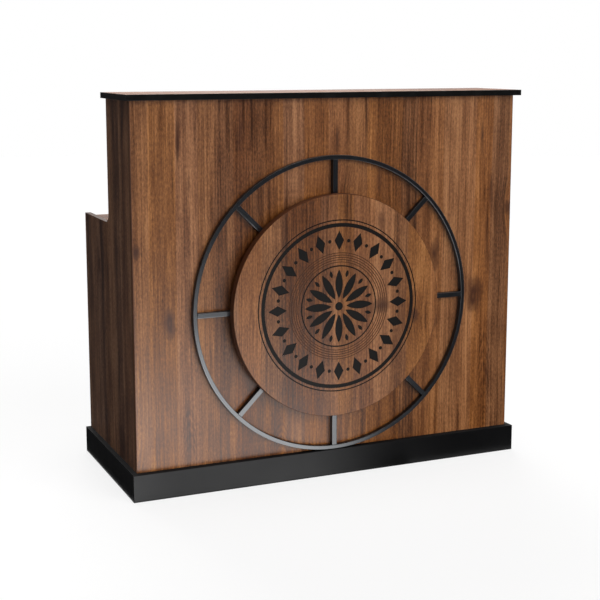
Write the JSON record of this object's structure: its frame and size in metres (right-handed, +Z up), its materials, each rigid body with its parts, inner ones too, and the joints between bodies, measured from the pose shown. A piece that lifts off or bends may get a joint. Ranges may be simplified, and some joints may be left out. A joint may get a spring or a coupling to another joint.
{
  "type": "reception desk",
  "caption": "Reception desk with a raised counter, lower worktop, black plinth and a round steel ring with a wooden disc on its front; a lockable drawer and a cupboard on the staff side.",
  "frame": {"origin": "on the floor under the middle of the whole desk's box", "axes": "+X along the front to the visitor's right, +Y from the visitor's side to the staff side, +Z up"},
  "size_m": [1.2, 0.534, 1.096],
  "materials": {
    "walnut_laminate": "satin walnut-look laminate with upright grain",
    "walnut_disc": "satin walnut with a black printed ornament",
    "black_laminate": "satin black laminate on board",
    "black_edge_band": "satin black edge band",
    "raw_board": "bare pressed board",
    "black_steel": "satin black powder coat",
    "pale_drawer_board": "pale laminate",
    "zinc_steel": "zinc plated",
    "polished_lock": "polished nickel",
    "black_plastic": "moulded black plastic"
  },
  "bodies": {
    "desk": {"plinth_front": "black_laminate", "plinth_rear": "black_laminate", "plinth_left": "black_laminate", "plinth_right": "black_laminate", "plinth_rail_left": "raw_board", "plinth_rail_right": "raw_board", "plinth_corner_blocks": "raw_board", "side_left": "walnut_laminate", "side_right": "walnut_laminate", "bottom_panel": "walnut_laminate", "front_panel": "walnut_laminate", "front_bands": "walnut_laminate", "worktop": "walnut_laminate", "worktop_band": "walnut_laminate", "pedestal_divider": "walnut_laminate", "drawer_deck": "walnut_laminate", "upper_divider": "walnut_laminate", "counter_top": "walnut_laminate", "counter_band_front": "black_edge_band", "counter_band_rear": "black_edge_band", "counter_end_bands": "black_edge_band", "upper_shelf": "walnut_laminate", "cupboard_shelf": "walnut_laminate", "shelf_pins": "zinc_steel", "cable_grommet": "black_plastic", "steel_ring": "black_steel", "ring_spokes": "black_steel", "emblem_disc": "walnut_disc", "disc_spacer": "raw_board", "spoke_screws": "zinc_steel", "disc_screws": "zinc_steel", "cam_locks": "zinc_steel", "cam_bolts": "zinc_steel", "runner_left_fixed": "zinc_steel", "runner_right_fixed": "zinc_steel", "lock_strike": "zinc_steel", "hinge_frame_leaves": "zinc_steel", "hinge_frame_screws": "zinc_steel", "hinge_pins": "zinc_steel", "door_catch": "black_plastic"},
    "drawer": {"drawer_front": "walnut_laminate", "drawer_side_left": "pale_drawer_board", "drawer_side_right": "pale_drawer_board", "drawer_back": "pale_drawer_board", "drawer_bottom": "pale_drawer_board", "drawer_handle": "black_steel", "drawer_handle_screws": "zinc_steel", "lock_housing": "polished_lock", "runner_left_moving": "zinc_steel", "runner_right_moving": "zinc_steel"},
    "runner_middles": {"runner_left_middle": "zinc_steel", "runner_right_middle": "zinc_steel"},
    "lock": {"lock_barrel": "polished_lock", "lock_tongue": "zinc_steel"},
    "door": {"cupboard_door": "walnut_laminate", "door_handle": "black_steel", "door_handle_screws": "zinc_steel", "hinge_door_leaves": "zinc_steel", "hinge_door_screws": "zinc_steel", "catch_plate": "zinc_steel"}
  },
  "joints": [
    {"name": "drawer_slide", "type": "slide", "parent": "desk", "child": "drawer", "axis": [0, 1, 0], "range_m": [0, 0.36]},
    {"name": "runner_slide", "type": "slide", "parent": "desk", "child": "runner_middles", "axis": [0, 1, 0], "range_m": [0, 0.18]},
    {"name": "door_hinge", "type": "hinge", "parent": "desk", "child": "door", "pos_m": [-0.5656, 0.2404, 0.32], "axis": [0, 0, 1], "range_deg": [0, 95]},
    {"name": "lock_turn", "type": "hinge", "parent": "drawer", "child": "lock", "pos_m": [-0.369, 0.237, 0.68], "axis": [0, -1, 0], "range_deg": [0, 90]}
  ],
  "couplings": [
    {"joint": "runner_slide", "follows": "drawer_slide", "ratio": 0.5}
  ]
}
